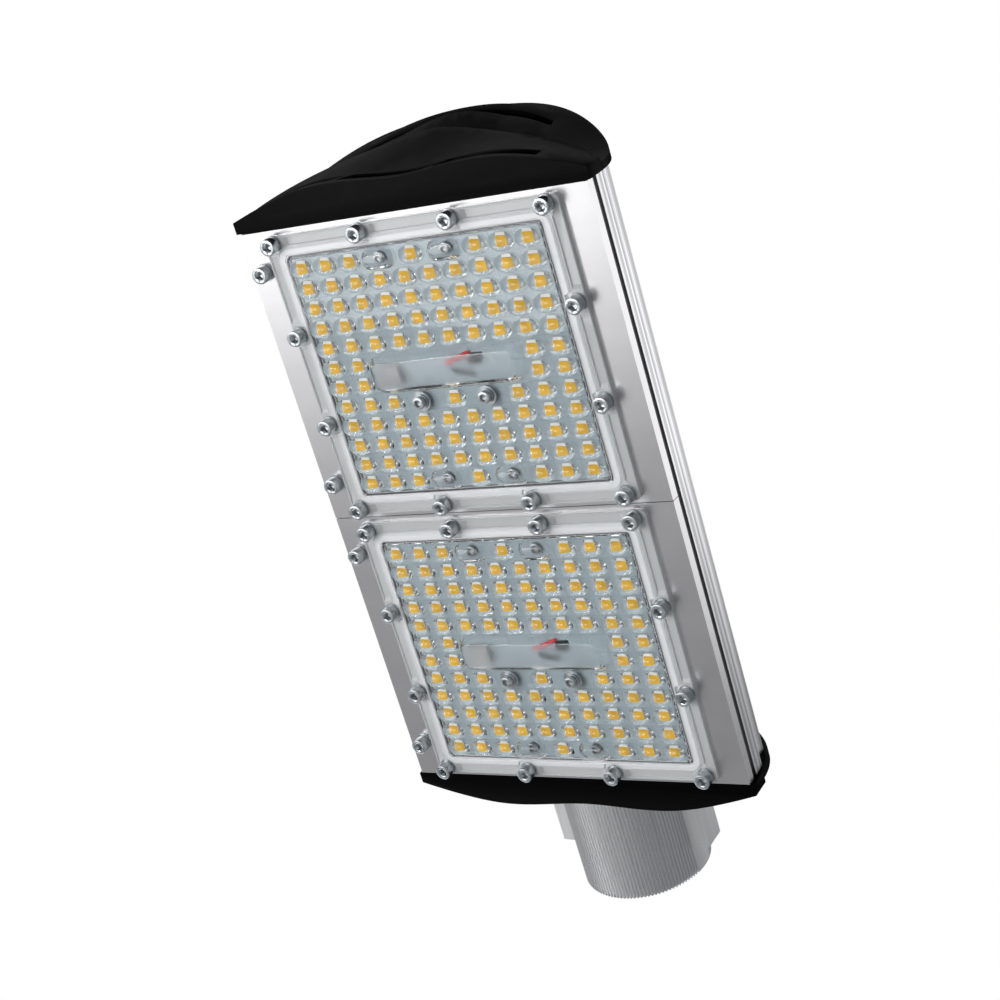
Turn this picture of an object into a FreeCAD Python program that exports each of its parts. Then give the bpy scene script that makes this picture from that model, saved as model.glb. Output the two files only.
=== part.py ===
import FreeCAD, Part
import math
import os

from FreeCAD import Vector

# LED street light: two lens modules on a finned aluminium profile that slips over a pole arm.
# Origin: centre of the pole socket's mouth. +Y leaves the lamp along the arm, +Z is up, and
# the lenses look down, along -Z. Heights are counted up from the lamp's flat lower face, so
# what stands below that face has a negative height. All sizes are in millimetres.

# Pole socket tube
socket_bore = 51.0
socket_wall = 4.2
socket_reach = 67.5
socket_relief = 0.6
socket_relief_length = 6.5
axis_height = 35.0
rib_count = 32
rib_depth = 0.6
rib_share = 0.5
rib_slope = 0.05
lug_out = 8.0
lug_tall = 13.0
lug_short = 14.0

# Finned profile and its arched outline
arch_base = 8.0
arch_rise = 57.0
base_t = 6.0
side_groove_tall = 3.0
side_groove_deep = 3.0
side_lip_top = 15.2
side_lip_t = 2.4
fin_t = 2.0
fin_pitch = 8.0
channel_width = 74.0
channel_tall = 40.0
channel_wall = 3.0
top_fin_count = 9

# Module plates, one behind the other
plate_t = 4.5
plate_edge = 12.3
plate_end = 2.25
plate_seam = 0.3
plate_screw_inset = 7.1

# LED boards and packages
board_t = 1.5
board_side_trim = 2.2
board_end_trim = 0.56
led_pitch_x = 12.0
led_pitch_y = 8.78
led_columns = 10
led_rows = 12
led_width = 3.5
led_length = 2.8
led_t = 0.7
lead_slot_width = 5.0
lead_slot_length = 7.0
lead_slot_x = 14.0
lead_slot_y = -2.0

# Lens plates: flange, stepped rim, roof over the LEDs, domes and covers
flange_side = 5.3
flange_end = 5.1
flange_corner = 2.5
flange_t = 2.2
rim_side = 4.8
rim_end = 4.5
rim_corner = 3.0
rim_drop = 3.3
rim_chamfer = 0.8
roof_side = 1.3
roof_end = 1.0
roof_corner = 3.0
roof_drop = 4.3
roof_t = 1.7
board_gap = 0.5
dome_side_gap = 0.6
dome_end_gap = 0.88
dome_top = 0.52
dome_drop = 2.8
cover_width = 72.0
cover_gap = 1.06
cover_r = 5.0
cover_drop = 3.2
cover_slope = 2.4
cover_wall = 1.2
small_cover_width = 14.4
small_cover_length = 8.6
small_cover_corner = 2.6
small_cover_x = 15.8
small_cover_slope = 1.6
gasket_width = 2.4
gasket_t = 1.2
gasket_inset = 1.4
gasket_gap = 0.1

# Small screws
corner_screw_inset = 5.3
end_screw_inset = 3.1
side_screw_inset = 3.55
screw_head_r = 3.5
screw_head_sides = 10
lens_screw_head = 5.4
screw_room = 4.7
plate_screw_head = 5.3
centre_screw_x = 15.8
centre_screw_shift = 0.37
centre_screw_head = 3.6

# End plates, their gaskets and the bolts that clamp the pole arm
end_plate_t = 5.0
end_plate_margin = 0.3
end_plate_inset = 1.5
end_gasket_t = 1.0
bolt_r = 4.0
bolt_flats = 13.0
bolt_head = 5.3
bolt_clear = 0.2
bolt_inset = 12.0
bolt_step = 26.0

# Mains cable gland
gland_flats = 22.0
gland_bore_r = 4.5
gland_neck_r = 6.0
gland_tall = 12.0
gland_nut = 3.0

# Driver
driver_width = 60.0
driver_tall = 30.0
driver_length = 170.0
driver_r = 3.0
driver_ear_t = 2.0
driver_ear_length = 12.0
terminal_width = 10.0
terminal_length = 7.6
terminal_tall = 3.2
terminal_inset = 9.0
terminal_y = 0.8

# End caps
cap_over = 1.6
cap_wall = 2.4
cap_gap = 0.3
lug_room = 4.0
foot_depths = ((82.0, 5.0), (63.0, 11.0), (42.0, 14.5), (20.0, 14.0), (0.0, 12.8))
foot_t = 4.2
foot_tall = 10.6
vent_top = 9.6
vent_inset = 22.2
strut_x = (-34.0, 12.0)
strut_width = 3.0
strut_lean = 6.0
blade_low = 9.0
nose_depth = 22.4
# Each blade: inset of its ends, rise, depths at its left end, middle and right end, fullness
blades = (
    (3.7, 27.0, (8.0, 21.6, 1.0), 1.4),
    (10.2, 46.0, (3.0, nose_depth, 1.0), 1.5),
    (4.7, 53.4, (2.0, nose_depth, 2.0), 2.7),
    (0.0, 57.6, (2.0, 20.6, 2.0), 5.0),
)
step_height = 20.0
step_depths = (3.0, 6.5, 3.0)
step_fullness = 3.0
brow_steps = 4
slotted_blades = 2
slot_tall = 4.0
slot_inset = 36.0

# Worked out from the sizes above: each layer is built round the grid of LEDs
board_width = led_columns * led_pitch_x - board_side_trim
board_length = led_rows * led_pitch_y - board_end_trim
roof_width = board_width + 2 * roof_side
roof_length = board_length + 2 * roof_end
rim_width = roof_width + 2 * rim_side
rim_length = roof_length + 2 * rim_end
flange_width = rim_width + 2 * flange_side
flange_length = rim_length + 2 * flange_end
body_width = flange_width + 2 * plate_edge
plate_length = flange_length + 2 * plate_end
dome_width = led_pitch_x - dome_side_gap
dome_length = led_pitch_y - dome_end_gap
cover_length = 2 * led_pitch_y - cover_gap
terminal_x = terminal_inset - cover_width / 2
face_z = -axis_height
half_width = body_width / 2
body_length = 2 * plate_length
body_rear = -socket_reach
body_front = body_rear - body_length
body_middle = (body_rear + body_front) / 2
channel_floor = plate_t + base_t
channel_top = channel_floor + channel_tall
gland_z = face_z + channel_floor + (channel_tall - channel_wall) / 2
socket_r = socket_bore / 2 + socket_wall
lug_reach = socket_r + lug_out
cap_half = half_width + cap_over
cap_cut = 2 * nose_depth
plate_centres = (
    ("front", body_front + plate_length / 2),
    ("rear", body_rear - plate_length / 2),
)
lens_screw_x = flange_width / 2 - corner_screw_inset
lens_screw_y = flange_length / 2 - end_screw_inset
side_screw_x = flange_width / 2 - side_screw_inset
plate_screw_x = body_width / 2 - plate_screw_inset
plate_screw_y = (led_rows - 1) / 2 * led_pitch_y
centre_screw_y = 1.5 * led_pitch_y - centre_screw_shift
lens_screw_places = [
    (sx * x, sy * y)
    for x, y in (
        (lens_screw_x, lens_screw_y),
        (lens_screw_x / 3, lens_screw_y),
        (side_screw_x, lens_screw_y / 3),
    )
    for sx in (-1, 1)
    for sy in (-1, 1)
]


def up(height):
    """Z of a height above the lamp's flat lower face."""
    return face_z + height


def block(width, length, tall, x, y, height):
    """A block centred on x and y that stands on a height."""
    return Part.makeBox(width, length, tall, Vector(x - width / 2, y - length / 2, up(height)))


def screw_head(tall, x, y, height):
    """A cap screw's head that stands on a surface, its height given, and points down."""
    points = []
    for index in range(screw_head_sides):
        angle = (index + 0.5) * 2 * math.pi / screw_head_sides
        points.append(Vector(x + screw_head_r * math.cos(angle), y + screw_head_r * math.sin(angle),
                             up(height)))
    return flat_face(points).extrude(Vector(0, 0, -tall))


def round_wire(width, length, radius, x, y, height):
    """A rectangle with round corners, level at a height."""
    rim = []
    for turn, (sx, sy) in enumerate(((1, 1), (-1, 1), (-1, -1), (1, -1))):
        centre = Vector(x + sx * (width / 2 - radius), y + sy * (length / 2 - radius), up(height))
        points = []
        for share in (0.0, 0.5, 1.0):
            angle = (turn + share) * math.pi / 2
            points.append(centre + Vector(math.cos(angle), math.sin(angle), 0) * radius)
        rim.append(points)
    edges = []
    for index, points in enumerate(rim):
        following = rim[(index + 1) % len(rim)]
        edges.append(Part.Arc(*points).toShape())
        edges.append(Part.makeLine(points[2], following[0]))
    return Part.Wire(edges)


def cut_corners(width, length, corner, x, y, height):
    """The eight points of a rectangle with its corners cut off, level at a height."""
    points = []
    for sx, sy in ((1, 1), (-1, 1), (-1, -1), (1, -1)):
        near = Vector(x + sx * width / 2, y + sy * (length / 2 - corner), up(height))
        far = Vector(x + sx * (width / 2 - corner), y + sy * length / 2, up(height))
        points += [near, far] if sx == sy else [far, near]
    return points


def flat_face(points):
    return Part.Face(Part.makePolygon(points + [points[0]]))


def facet_block(wide, small):
    """A solid with flat faces between two level outlines with as many points."""
    faces = [flat_face(wide), flat_face(small)]
    for index in range(len(wide)):
        after = (index + 1) % len(wide)
        faces.append(flat_face([wide[index], wide[after], small[after], small[index]]))
    return Part.makeSolid(Part.makeShell(faces))


def cut_block(width, length, corner, tall, x, y, height):
    """A block with cut-off corners that hangs down from a height."""
    return flat_face(cut_corners(width, length, corner, x, y, height)).extrude(Vector(0, 0, -tall))


def narrowing_cut_block(width, length, corner, slope, tall, x, y, height):
    """A block with cut-off corners that narrows by slope all round as it hangs down."""
    wide = cut_corners(width, length, corner, x, y, height)
    small = cut_corners(width - 2 * slope, length - 2 * slope, corner - slope / 2, x, y,
                        height - tall)
    return facet_block(wide, small)


def narrowing_block(width, length, radius, slope, tall, x, y, height):
    """A round-cornered block that hangs down from a height and narrows by slope all round."""
    wide = round_wire(width, length, radius, x, y, height)
    small_r = max(radius - slope, radius / 3)
    small = round_wire(width - 2 * slope, length - 2 * slope, small_r, x, y, height - tall)
    return Part.makeLoft([wide, small], True, True)


def upright_face(points, y):
    """A flat face across the lamp from (x, height) points."""
    return flat_face([Vector(x, y, up(height)) for x, height in points])


def arch_face(half, foot, base, rise, y):
    """Straight sides from foot up to base, closed by half an ellipse."""
    crown = Vector(0, y, up(base + rise))
    centre = Vector(0, y, up(base))
    if rise > half:
        ellipse = Part.Ellipse(crown, Vector(half, y, up(base)), centre)
    else:
        ellipse = Part.Ellipse(Vector(half, y, up(base)), crown, centre)
    right = Vector(half, y, up(base))
    left = Vector(-half, y, up(base))
    start = ellipse.parameter(right)
    arc = ellipse.toShape(start, start + math.pi)
    low_left = Vector(-half, y, up(foot))
    low_right = Vector(half, y, up(foot))
    lines = [Part.makeLine(low_left, low_right)]
    if foot < base:
        lines += [Part.makeLine(left, low_left), Part.makeLine(low_right, right)]
    return Part.Face(Part.Wire(Part.sortEdges([arc] + lines)[0]))


def arch_block(half, foot, base, rise, start_y, end_y):
    face = arch_face(half, foot, base, rise, start_y)
    return face.extrude(Vector(0, end_y - start_y, 0))


def save(name, solids):
    """Writes one solid, or a group of separate ones, as one node."""
    shape = solids if isinstance(solids, Part.Shape) else Part.Compound(solids)
    shape.exportStep("parts/" + name + ".step")


# Finned profile: base, side lips, driver channel and fins, all cut to one arch


def heat_sink():
    reach = half_width
    groove = reach - side_groove_deep
    lip = side_groove_tall + plate_t
    base = block(body_width, body_length, base_t, 0, body_middle, plate_t)
    solids = []
    for side in (-1, 1):
        cut = block(side_groove_deep, body_length, side_groove_tall,
                    side * (groove + side_groove_deep / 2), body_middle, plate_t)
        base = base.cut(cut)
        solids.append(block(side_lip_t, body_length, side_lip_top - lip,
                            side * (reach - side_lip_t / 2), body_middle, lip))
        fin_x = channel_width / 2 + fin_pitch
        while fin_x < reach - side_lip_t - fin_t:
            solids.append(block(fin_t, body_length, arch_rise + arch_base - channel_floor,
                                side * fin_x, body_middle, channel_floor))
            fin_x += fin_pitch
    channel = block(channel_width, body_length, channel_tall, 0, body_middle, channel_floor)
    inner = block(channel_width - 2 * channel_wall, body_length, channel_tall - channel_wall,
                  0, body_middle, channel_floor)
    solids.append(channel.cut(inner))
    for index in range(top_fin_count):
        fin_x = (index - (top_fin_count - 1) / 2) * fin_pitch
        solids.append(block(fin_t, body_length, arch_rise + arch_base - channel_top,
                            fin_x, body_middle, channel_top))
    whole = base.fuse(solids)
    whole = whole.common(arch_block(reach, 0, arch_base, arch_rise, body_front, body_rear))
    for _, centre in plate_centres:
        whole = whole.cut(lead_slot(centre, base_t, plate_t))
    return whole.removeSplitter()


# Module plate and its LED board


def lead_slot(centre, tall, height):
    """The passage for the leads, through one layer that starts at a height."""
    return block(lead_slot_length, lead_slot_width, tall, lead_slot_x, centre + lead_slot_y, height)


def module_plate(centre):
    plate = block(body_width, plate_length - plate_seam, plate_t, 0, centre, 0)
    return plate.cut(lead_slot(centre, plate_t, 0))


def led_board(centre):
    board = block(board_width, board_length, board_t, 0, centre, -board_t)
    return board.cut(lead_slot(centre, board_t, -board_t))


def led_places(centre):
    """Where the LEDs sit: short rows leave room for the covers and the centre screws."""
    last = led_columns - 1
    middle_rows = (led_rows // 2 - 1, led_rows // 2)
    screw_rows = (0, middle_rows[1] + 1, led_rows - 1)
    places = []
    for row in range(led_rows):
        y = centre + (row - (led_rows - 1) / 2) * led_pitch_y
        if row in middle_rows:
            columns = (0, 1, last - 1, last)
        elif row in screw_rows:
            columns = (0, 1, 2, last / 2, last - 2, last - 1, last)
        else:
            columns = range(led_columns)
        for column in columns:
            places.append(((column - last / 2) * led_pitch_x, y))
    return places


def led_packages(centre):
    return [
        block(led_width, led_length, led_t, x, y, -board_t - led_t)
        for x, y in led_places(centre)
    ]


# Lens plate: one clear moulding over a whole board


def dome(x, y):
    """A lens dome: a wide low form that narrows to a flat crown."""
    outlines = []
    for share, height in ((1.0, -roof_drop), (dome_top, -roof_drop - dome_drop)):
        half_x = dome_width / 2 * share
        half_y = dome_length / 2 * share
        outlines.append([
            Vector(x + px * half_x, y + py * half_y, up(height))
            for px, py in ((1, 1), (-1, 1), (-1, -1), (1, -1))
        ])
    return facet_block(*outlines)


def small_cover_places(centre):
    y = (led_rows - 1) / 2 * led_pitch_y
    return [(sx * small_cover_x, centre + sy * y) for sx in (-1, 1) for sy in (-1, 1)]


def lens_plate(centre):
    flange = cut_block(flange_width, flange_length, flange_corner, flange_t, 0, centre, 0)
    straight = rim_drop - rim_chamfer
    rim = cut_block(rim_width, rim_length, rim_corner, straight, 0, centre, 0)
    edge = narrowing_cut_block(rim_width, rim_length, rim_corner, rim_chamfer, rim_chamfer,
                               0, centre, -straight)
    rim = rim.fuse(edge).cut([
        block(2 * screw_room, 2 * screw_room, rim_drop, x, centre + y, -rim_drop)
        for x, y in lens_screw_places
    ])
    roof = cut_block(roof_width, roof_length, roof_corner, roof_drop, 0, centre, 0)
    cover = narrowing_block(cover_width, cover_length, cover_r, cover_slope, cover_drop,
                            0, centre, -roof_drop)
    forms = [rim, roof, cover] + [dome(x, y) for x, y in led_places(centre)]
    pocket = block(board_width + 2 * board_gap, board_length + 2 * board_gap,
                   roof_drop - roof_t, 0, centre, roof_t - roof_drop)
    inside = cover_drop + roof_t - cover_wall
    ceiling = roof_t - roof_drop
    hollows = [pocket, gasket_ring(centre, 0)]
    hollows.append(narrowing_cut_block(
        cover_width - 2 * cover_wall, cover_length - 2 * cover_wall, cover_r / 2,
        cover_slope, inside, 0, centre, ceiling))
    for x, y in small_cover_places(centre):
        forms.append(narrowing_cut_block(
            small_cover_width, small_cover_length, small_cover_corner,
            small_cover_slope, cover_drop, x, y, -roof_drop))
        hollows.append(narrowing_cut_block(
            small_cover_width - 2 * cover_wall, small_cover_length - 2 * cover_wall,
            small_cover_corner / 2, small_cover_slope, inside, x, y, ceiling))
    return flange.fuse(forms).removeSplitter().cut(hollows)


def gasket_ring(centre, gap):
    """The seal's ring under the rim; gap is its play in the groove on every side."""
    width = rim_width - 2 * (gasket_inset + gap)
    length = rim_length - 2 * (gasket_inset + gap)
    band = gasket_width - 2 * gap
    outer = cut_block(width, length, rim_corner, gasket_t, 0, centre, 0)
    inner = cut_block(width - 2 * band, length - 2 * band, rim_corner / 2, gasket_t, 0, centre, 0)
    return outer.cut(inner)


def lens_gasket(centre):
    return gasket_ring(centre, gasket_gap)


# Screws that show on the lower face


def lens_screws(centre):
    return [
        screw_head(lens_screw_head, x, centre + y, -flange_t)
        for x, y in lens_screw_places
    ]


def centre_screws(centre):
    return [
        screw_head(centre_screw_head, side * centre_screw_x, centre + centre_screw_y, -roof_drop)
        for side in (-1, 1)
    ]


def plate_screws():
    return [
        screw_head(plate_screw_head, -plate_screw_x, centre + side * plate_screw_y, 0)
        for _, centre in plate_centres
        for side in (-1, 1)
    ]


# Driver and terminal blocks


def led_driver():
    case = block(driver_width, driver_length, driver_tall, 0, body_middle, channel_floor)
    upper = [
        edge for edge in case.Edges
        if edge.BoundBox.ZLength < driver_r and edge.BoundBox.YLength > driver_r
        and edge.BoundBox.ZMin > up(channel_floor)
    ]
    case = case.makeFillet(driver_r, upper)
    ears = block(driver_width / 2, driver_length + 2 * driver_ear_length, driver_ear_t,
                 0, body_middle, channel_floor)
    return case.fuse(ears).removeSplitter()


def terminal_block(centre):
    return block(terminal_width, terminal_length, terminal_tall, terminal_x,
                 centre + terminal_y, -board_t - terminal_tall)


# End plates close the channel; the rear one also carries the socket tube


def end_plate(y, depth):
    """A plate along Y from y by depth, under the same arch as the fins."""
    tall = arch_base + arch_rise - plate_t
    width = 2 * (lug_reach + end_plate_margin)
    slab = block(width, abs(depth), tall, 0, y + depth / 2, plate_t)
    arch = arch_block(half_width - end_plate_inset, 0, arch_base, arch_rise - end_plate_inset,
                      y, y + depth)
    return slab.common(arch)


def end_gasket(y, depth):
    slab = block(channel_width, abs(depth), channel_tall, 0, y + depth / 2, channel_floor)
    window = block(channel_width - 2 * channel_wall, abs(depth), channel_tall - channel_wall,
                   0, y + depth / 2, channel_floor)
    return slab.cut(window)


def front_end_plate():
    return end_plate(body_front - end_gasket_t, -end_plate_t)


def rear_end_plate():
    plate = end_plate(body_rear + end_gasket_t, end_plate_t)
    hole = Part.makeCylinder(gland_neck_r, 2 * end_plate_t, Vector(0, body_rear, gland_z),
                             Vector(0, 1, 0))
    return plate.cut(hole)


# Socket tube: a ribbed extrusion with a lug on each side


def socket_tube():
    start_y = body_rear + end_gasket_t + end_plate_t
    points = []
    step = 2 * math.pi / rib_count
    for index in range(rib_count):
        for share, radius in ((0, socket_r), (rib_share, socket_r - rib_depth)):
            for edge in (0, rib_share - rib_slope):
                angle = (index + share + edge) * step
                points.append(Vector(math.cos(angle) * radius, start_y, math.sin(angle) * radius))
    tube = flat_face(points).extrude(Vector(0, -start_y, 0))
    lug_length = -lug_short - start_y
    width = lug_out + socket_wall
    lugs = [
        block(width, lug_length, lug_tall, side * (lug_reach - width / 2),
              start_y + lug_length / 2, axis_height - lug_tall / 2)
        for side in (-1, 1)
    ]
    along = Vector(0, 1, 0)
    bore = Part.makeCylinder(socket_bore / 2, -start_y, Vector(0, start_y, 0), along)
    relief = Part.makeCylinder(socket_bore / 2 + socket_relief, socket_relief_length,
                               Vector(0, start_y, 0), along)
    cuts = [bore, relief]
    for y in bolt_places():
        cuts.append(Part.makeCylinder(bolt_r + bolt_clear, socket_r, Vector(0, y, 0)))
    return tube.fuse(lugs).cut(cuts)


def bolt_places():
    return (-bolt_inset, -bolt_inset - bolt_step)


def hexagon(flats, tall, place, way):
    """A six-sided prism from a place along way."""
    radius = flats / math.sqrt(3)
    side = Vector(1, 0, 0)
    other = way.cross(side)
    points = []
    for index in range(6):
        angle = index * math.pi / 3
        points.append(place + side * (radius * math.cos(angle)) + other * (radius * math.sin(angle)))
    return flat_face(points).extrude(way * tall)


def clamp_bolts():
    """Two hexagon bolts through the top of the tube; their heads stop above its ribs."""
    bolts = []
    for y in bolt_places():
        foot = Vector(0, y, socket_bore / 2)
        shank = Part.makeCylinder(bolt_r, socket_wall, foot)
        head = hexagon(bolt_flats, bolt_head, foot + Vector(0, 0, socket_wall), Vector(0, 0, 1))
        bolts.append(shank.fuse(head))
    return bolts


# Cable gland in the rear end plate, inside the tube


def cable_gland():
    """The gland's body is in the channel; its neck takes a flat nut inside the tube."""
    inner_face = body_rear + end_gasket_t
    outer_face = inner_face + end_plate_t
    along = Vector(0, 1, 0)
    start = Vector(0, inner_face - gland_tall, gland_z)
    length = gland_tall + end_plate_t + gland_nut
    body = hexagon(gland_flats, gland_tall, start, along)
    neck = Part.makeCylinder(gland_neck_r, length, start, along)
    bore = Part.makeCylinder(gland_bore_r, length, start, along)
    nut = hexagon(gland_flats, gland_nut, Vector(0, outer_face, gland_z), along)
    return body.fuse(neck).cut(bore), nut.cut(neck)


# End caps: a foot, a vent row, leaning blades with slots between them, and an outer arch


def cap_wire(points, height):
    """A smooth line across the cap's front, closed along the joint at y = 0."""
    curve = Part.BSplineCurve()
    curve.interpolate(points)
    right = Vector(cap_half, 0, up(height))
    left = Vector(-cap_half, 0, up(height))
    edges = [
        curve.toShape(),
        Part.makeLine(points[-1], right),
        Part.makeLine(right, left),
        Part.makeLine(left, points[0]),
    ]
    return Part.Wire(edges)


def foot_line(drop, height):
    """The cap's outline at its foot, drop behind the given depths."""
    ends = [(cap_half, foot_depths[0][1])] + list(foot_depths[1:])
    points = [Vector(-x, drop - depth, up(height)) for x, depth in ends]
    points += [Vector(x, drop - depth, up(height)) for x, depth in reversed(ends[:-1])]
    return cap_wire(points, height)


def brow_line(depths, fullness, drop, height):
    """An outline that stands furthest forward in the middle and falls back to each end."""
    left, middle, right = depths
    points = []
    for step in range(-brow_steps, brow_steps + 1):
        share = step / brow_steps
        end = left if share < 0 else right
        depth = end + (middle - end) * (1 - abs(share) ** fullness)
        points.append(Vector(share * cap_half, -max(depth - drop, cap_gap), up(height)))
    return cap_wire(points, height)


def leaning_room(low, high):
    return Part.makeLoft([low, high], True, True)


def blade_room(index, drop, foot):
    """The room behind a blade's leaning front, with the cap's joint at y = 0."""
    inset, rise, depths, fullness = blades[index]
    brow = brow_line(depths, fullness, drop, blade_low + rise)
    if index == 0:
        low = leaning_room(foot_line(drop, foot), foot_line(drop, foot_tall))
        return low.fuse(leaning_room(foot_line(drop, foot_tall), brow))
    step = brow_line(step_depths, step_fullness, drop, step_height)
    return leaning_room(brow_line(step_depths, step_fullness, drop, foot), step).fuse(
        leaning_room(step, brow))


def crescent(inset, rise):
    """A slot over a blade, which stops short of its ends, as a slab along Y."""
    reach = cap_half - inset
    outer = arch_block(reach, blade_low, blade_low, rise + slot_tall, -cap_cut, 0)
    inner = arch_block(reach, blade_low, blade_low, rise, -cap_cut, 0)
    middle = block(2 * (cap_half - slot_inset), cap_cut, rise + slot_tall, 0, -cap_cut / 2, blade_low)
    return outer.cut(inner).common(middle)


def cap_shell():
    """The front cap with its joint at y = 0: each blade steps back behind the one below."""
    rooms = [leaning_room(foot_line(0, 0), foot_line(0, foot_tall))]
    hollows = []
    for index, (inset, rise, depths, fullness) in enumerate(blades):
        reach = cap_half - inset
        rooms.append(blade_room(index, 0, 0).common(
            arch_block(reach, 0, blade_low, rise, -cap_cut, 0)))
        hollows.append(blade_room(index, cap_wall, 0).common(
            arch_block(reach - cap_wall, foot_t, blade_low, rise - cap_wall, -cap_cut, 0)))
    shell = rooms[0].fuse(rooms[1:]).cut(hollows)
    vent = block(2 * (cap_half - vent_inset), cap_cut, vent_top - foot_t, 0, -cap_cut / 2, foot_t)
    for x in strut_x:
        strut = upright_face([
            (x, foot_t), (x + strut_width, foot_t),
            (x + strut_width + strut_lean, vent_top), (x + strut_lean, vent_top),
        ], -cap_cut)
        vent = vent.cut(strut.extrude(Vector(0, cap_cut, 0)))
    slots = [vent] + [crescent(inset, rise) for inset, rise, depths, fullness in blades[:slotted_blades]]
    return shell.cut(slots)


def front_cap():
    cap = cap_shell()
    cap.translate(Vector(0, body_front - cap_gap, 0))
    return cap


def rear_cap():
    cap = cap_shell().mirror(Vector(0, 0, 0), Vector(0, 1, 0))
    cap.translate(Vector(0, body_rear + cap_gap, 0))
    opening = Part.makeCylinder(socket_r + cap_gap, cap_cut, Vector(0, body_rear, 0),
                                Vector(0, 1, 0))
    lugs = block(2 * (lug_reach + cap_gap), cap_cut, lug_tall + 2 * lug_room, 0,
                 body_rear + cap_cut / 2, axis_height - lug_tall / 2 - lug_room)
    return cap.cut([opening, lugs])


os.makedirs("parts", exist_ok=True)
save("heat_sink", heat_sink())
for which, middle in plate_centres:
    save("module_plate_" + which, module_plate(middle))
    save("led_board_" + which, led_board(middle))
    save("led_packages_" + which, led_packages(middle))
    save("lens_plate_" + which, lens_plate(middle))
    save("lens_gasket_" + which, lens_gasket(middle))
    save("lens_screws_" + which, lens_screws(middle))
    save("centre_screws_" + which, centre_screws(middle))
    save("terminal_block_" + which, terminal_block(middle))
save("plate_screws", plate_screws())
save("led_driver", led_driver())
save("end_gasket_front", end_gasket(body_front, -end_gasket_t))
save("end_gasket_rear", end_gasket(body_rear, end_gasket_t))
save("end_plate_front", front_end_plate())
save("end_plate_rear", rear_end_plate())
save("socket_tube", socket_tube())
save("clamp_bolts", clamp_bolts())
gland, gland_lock_nut = cable_gland()
save("cable_gland", gland)
save("gland_nut", gland_lock_nut)
save("front_cap", front_cap())
save("rear_cap", rear_cap())
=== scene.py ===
import math
import bpy
import bmesh
from mathutils import Matrix, Vector
from mathutils.geometry import delaunay_2d_cdt


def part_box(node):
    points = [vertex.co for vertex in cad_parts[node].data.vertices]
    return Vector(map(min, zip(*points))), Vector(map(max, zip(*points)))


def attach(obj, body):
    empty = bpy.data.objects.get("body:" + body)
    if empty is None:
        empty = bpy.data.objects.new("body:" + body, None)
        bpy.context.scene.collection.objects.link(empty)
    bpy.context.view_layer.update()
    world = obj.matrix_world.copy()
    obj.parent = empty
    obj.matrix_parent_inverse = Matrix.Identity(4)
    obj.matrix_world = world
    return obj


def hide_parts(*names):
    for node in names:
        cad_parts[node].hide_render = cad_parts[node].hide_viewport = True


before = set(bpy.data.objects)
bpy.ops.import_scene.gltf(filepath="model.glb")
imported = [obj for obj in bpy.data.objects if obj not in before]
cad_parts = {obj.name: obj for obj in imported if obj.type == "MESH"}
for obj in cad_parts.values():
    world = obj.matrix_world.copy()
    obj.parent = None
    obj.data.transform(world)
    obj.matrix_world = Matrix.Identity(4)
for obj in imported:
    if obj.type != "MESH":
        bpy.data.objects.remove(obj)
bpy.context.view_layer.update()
scene = bpy.context.scene

# The camera stands below the lamp, on the side of its front cap, and looks up at the
# light face, as a picture of a lamp laid on its back does. A long lens keeps it plain.
CAMERA_PLACE = Vector((0.4280, -0.4750, -0.6347))
CAMERA_RIGHT = Vector((0.8395, 0.2737, 0.4694))
CAMERA_UP = Vector((0.0463, -0.8967, 0.4401))
CAMERA_BACK = Vector((0.5414, -0.3477, -0.7655))
LENS_LENGTH, SENSOR_WIDTH = 68.8, 36
NEAREST_SEEN = 0.01


def linked(name, data):
    """A new object with this data, linked into the scene."""
    made = bpy.data.objects.new(name, data)
    scene.collection.objects.link(made)
    return made


camera_data = bpy.data.cameras.new("camera")
camera_data.lens = LENS_LENGTH
camera_data.sensor_width = SENSOR_WIDTH
camera_data.clip_start = NEAREST_SEEN
camera = linked("camera", camera_data)
turn = Matrix((CAMERA_RIGHT, CAMERA_UP, CAMERA_BACK)).transposed()
camera.matrix_world = Matrix.Translation(CAMERA_PLACE) @ turn.to_4x4()
scene.camera = camera
scene.view_settings.view_transform = "Standard"

# The studio: a pale floor well below the lamp, a white surround, and large soft lights.
# The key light stands low on the left, so that the plates shine there and fade to the right.
FLOOR_HEIGHT, FLOOR_HALF = -1.3, 4.0
FLOOR_TONE, FLOOR_ROUGH, FLOOR_PALER = (0.8, 0.8, 0.8), 0.9, 0.5
SURROUND_TINT, SURROUND_LIGHT = (0.95, 0.97, 1.0), 0.28
OBJECT_MIDDLE = Vector((0.0, -0.2, -0.02))


def sky():
    """A surround that is white to look at and lights the lamp more softly."""
    world = bpy.data.worlds.new("studio")
    world.use_nodes = True
    nodes, links = world.node_tree.nodes, world.node_tree.links
    nodes.clear()
    seen = nodes.new("ShaderNodeBackground")
    seen.inputs["Color"].default_value = (1, 1, 1, 1)
    lighting = nodes.new("ShaderNodeBackground")
    lighting.inputs["Color"].default_value = (*SURROUND_TINT, 1)
    lighting.inputs["Strength"].default_value = SURROUND_LIGHT
    path = nodes.new("ShaderNodeLightPath")
    mix = nodes.new("ShaderNodeMixShader")
    out = nodes.new("ShaderNodeOutputWorld")
    links.new(path.outputs["Is Camera Ray"], mix.inputs[0])
    links.new(lighting.outputs[0], mix.inputs[1])
    links.new(seen.outputs[0], mix.inputs[2])
    links.new(mix.outputs[0], out.inputs["Surface"])
    scene.world = world


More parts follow.
